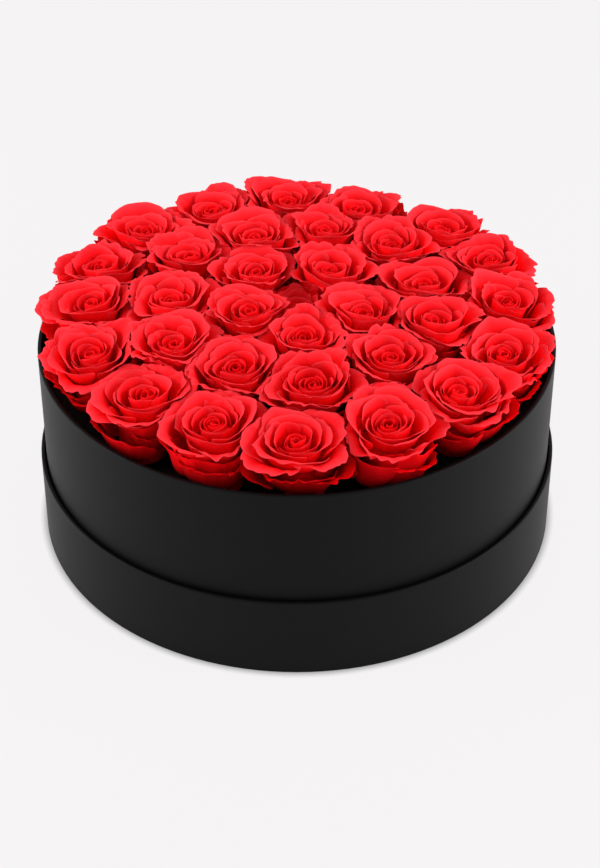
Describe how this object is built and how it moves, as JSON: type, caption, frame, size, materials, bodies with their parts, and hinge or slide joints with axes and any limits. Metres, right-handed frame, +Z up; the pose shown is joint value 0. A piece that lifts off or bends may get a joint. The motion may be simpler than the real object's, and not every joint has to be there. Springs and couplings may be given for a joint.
{
  "type": "flower box",
  "caption": "Round black paper-covered board box that stands in its own upturned lid, filled with a dome of preserved red roses held in a foam block.",
  "frame": {"origin": "centre of the lid's face that rests on the table", "axes": "+Z up, along the box's axis; the picture looks along +Y, with +X to its right"},
  "size_m": [0.3064, 0.3064, 0.1521],
  "materials": {
    "cover_paper": "matte",
    "lining_paper": "matte",
    "greyboard": "matte",
    "floral_foam": "matte",
    "stem": "matte",
    "rose_petal": "matte"
  },
  "bodies": {
    "lid": {"lid_face_paper": "cover_paper", "lid_disc": "greyboard", "lid_wall": "greyboard", "lid_wrap": "cover_paper", "lid_lining": "lining_paper", "lid_floor_paper": "lining_paper"},
    "box": {"drum_base_paper": "cover_paper", "drum_base": "greyboard", "drum_wall": "greyboard", "drum_wrap": "cover_paper", "drum_lining": "lining_paper", "drum_floor_paper": "lining_paper", "floral_foam": "floral_foam", "outer_stems": "stem", "middle_stems": "stem", "heart_stems": "stem", "outer_rose_01": "rose_petal", "outer_rose_02": "rose_petal", "outer_rose_03": "rose_petal", "outer_rose_04": "rose_petal", "outer_rose_05": "rose_petal", "outer_rose_06": "rose_petal", "outer_rose_07": "rose_petal", "outer_rose_08": "rose_petal", "outer_rose_09": "rose_petal", "outer_rose_10": "rose_petal", "outer_rose_11": "rose_petal", "outer_rose_12": "rose_petal", "outer_rose_13": "rose_petal", "outer_rose_14": "rose_petal", "outer_rose_15": "rose_petal", "outer_rose_16": "rose_petal", "middle_rose_01": "rose_petal", "middle_rose_02": "rose_petal", "middle_rose_03": "rose_petal", "middle_rose_04": "rose_petal", "middle_rose_05": "rose_petal", "middle_rose_06": "rose_petal", "middle_rose_07": "rose_petal", "middle_rose_08": "rose_petal", "middle_rose_09": "rose_petal", "middle_rose_10": "rose_petal", "middle_rose_11": "rose_petal", "inner_rose_01": "rose_petal", "inner_rose_02": "rose_petal", "inner_rose_03": "rose_petal", "inner_rose_04": "rose_petal", "inner_rose_05": "rose_petal", "centre_rose": "rose_petal"}
  },
  "joints": [
    {"name": "box_lift", "type": "slide", "parent": "lid", "child": "box", "axis": [0, 0, 1], "range_m": [0, 0.055]}
  ]
}
